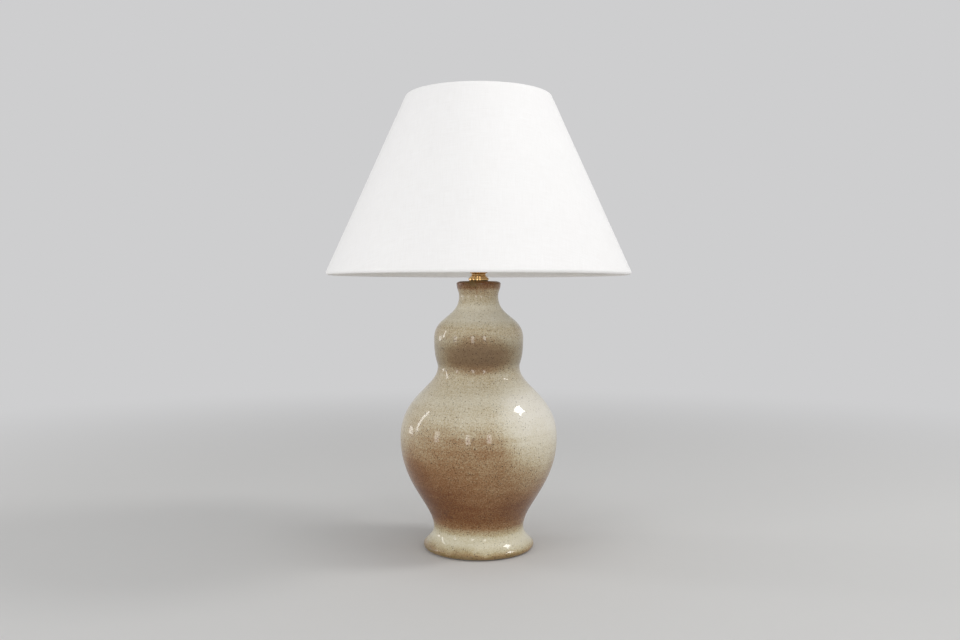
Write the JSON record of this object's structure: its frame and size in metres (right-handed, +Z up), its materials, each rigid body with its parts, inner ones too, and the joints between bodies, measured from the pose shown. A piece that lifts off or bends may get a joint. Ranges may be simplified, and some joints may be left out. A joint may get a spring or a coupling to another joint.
{
  "type": "table lamp",
  "caption": "Double gourd table lamp: hollow glazed stoneware body on a round foot, with a socket, bulb and harp that carries a tapered round fabric shade.",
  "frame": {"origin": "on the table under the middle of the round foot", "axes": "+Z up, -Y towards the front with the switch knob, +Y towards the cord inlet, the harp stands in the X-Z plane"},
  "size_m": [0.3722, 0.3722, 0.5672],
  "materials": {
    "glaze": "speckled gloss stoneware glaze",
    "felt": "pressed felt",
    "black_rubber": "soft satin",
    "zinc_steel": "bright zinc plate",
    "brass": "turned and lacquered",
    "plated_brass": "thin pressed sheet, bright",
    "shade_fabric": "fine plain weave",
    "styrene": "matt white sheet",
    "shade_wire": "white powder coat",
    "card": "pressed card",
    "phenolic": "dark moulded phenolic",
    "knob_plastic": "dark moulded phenolic, polished",
    "frosted_glass": "white frosted",
    "black_glass": "black",
    "aluminium": "rolled thread shell",
    "solder": "tinned contact"
  },
  "bodies": {
    "base": {"ceramic_body": "glaze", "felt_pad": "felt", "cord_grommet": "black_rubber", "lamp_pipe": "zinc_steel", "seat_washer": "zinc_steel", "lock_washer": "zinc_steel", "bottom_nut": "zinc_steel", "neck_washer": "black_rubber", "check_ring": "brass", "brass_neck": "brass", "harp_saddle": "plated_brass", "socket_cap": "plated_brass", "cap_set_screw": "zinc_steel", "socket_shell": "plated_brass", "insulating_sleeve": "card", "socket_body": "phenolic", "screw_shell": "plated_brass", "centre_contact": "brass", "terminal_screws": "brass"},
    "switch": {"switch_shaft": "zinc_steel", "switch_knob": "knob_plastic"},
    "harp": {"harp_wire": "plated_brass"},
    "left_lock": {"left_ferrule": "brass"},
    "right_lock": {"right_ferrule": "brass"},
    "shade": {"harp_swivel": "brass", "spider_hub": "shade_wire", "spider_arms": "shade_wire", "top_ring": "shade_wire", "bottom_ring": "shade_wire", "shade_cover": "shade_fabric", "shade_liner": "styrene"},
    "finial_thread": {"finial_insert": "zinc_steel"},
    "finial_knob": {"finial": "brass"},
    "bulb_thread": {"bulb_contact": "solder"},
    "bulb": {"bulb_insulator": "black_glass", "bulb_base_shell": "aluminium", "bulb_glass": "frosted_glass"}
  },
  "joints": [
    {"name": "switch_turn", "type": "hinge", "parent": "base", "child": "switch", "pos_m": [0, -0.025, 0.3685], "axis": [0, -1, 0], "continuous": true},
    {"name": "harp_lift", "type": "slide", "parent": "base", "child": "harp", "axis": [0, 0, 1], "range_m": [0, 0.02]},
    {"name": "left_ferrule_lift", "type": "slide", "parent": "harp", "child": "left_lock", "axis": [0, 0, 1], "range_m": [0, 0.01]},
    {"name": "right_ferrule_lift", "type": "slide", "parent": "harp", "child": "right_lock", "axis": [0, 0, 1], "range_m": [0, 0.01]},
    {"name": "shade_turn", "type": "hinge", "parent": "harp", "child": "shade", "pos_m": [0, 0, 0.5437], "axis": [0, 0, 1], "continuous": true},
    {"name": "finial_lift", "type": "slide", "parent": "shade", "child": "finial_thread", "axis": [0, 0, 1], "range_m": [0, 0.00565]},
    {"name": "finial_turn", "type": "hinge", "parent": "finial_thread", "child": "finial_knob", "pos_m": [0, 0, 0.5472], "axis": [0, 0, 1], "range_deg": [0, 2160]},
    {"name": "bulb_lift", "type": "slide", "parent": "base", "child": "bulb_thread", "axis": [0, 0, 1], "range_m": [0, 0.00727]},
    {"name": "bulb_turn", "type": "hinge", "parent": "bulb_thread", "child": "bulb", "pos_m": [0, 0, 0.39], "axis": [0, 0, 1], "range_deg": [0, 720]}
  ],
  "couplings": [
    {"joint": "finial_lift", "follows": "finial_turn", "m_per_rad": 0.00014961},
    {"joint": "bulb_lift", "follows": "bulb_turn", "m_per_rad": 0.00057757}
  ]
}
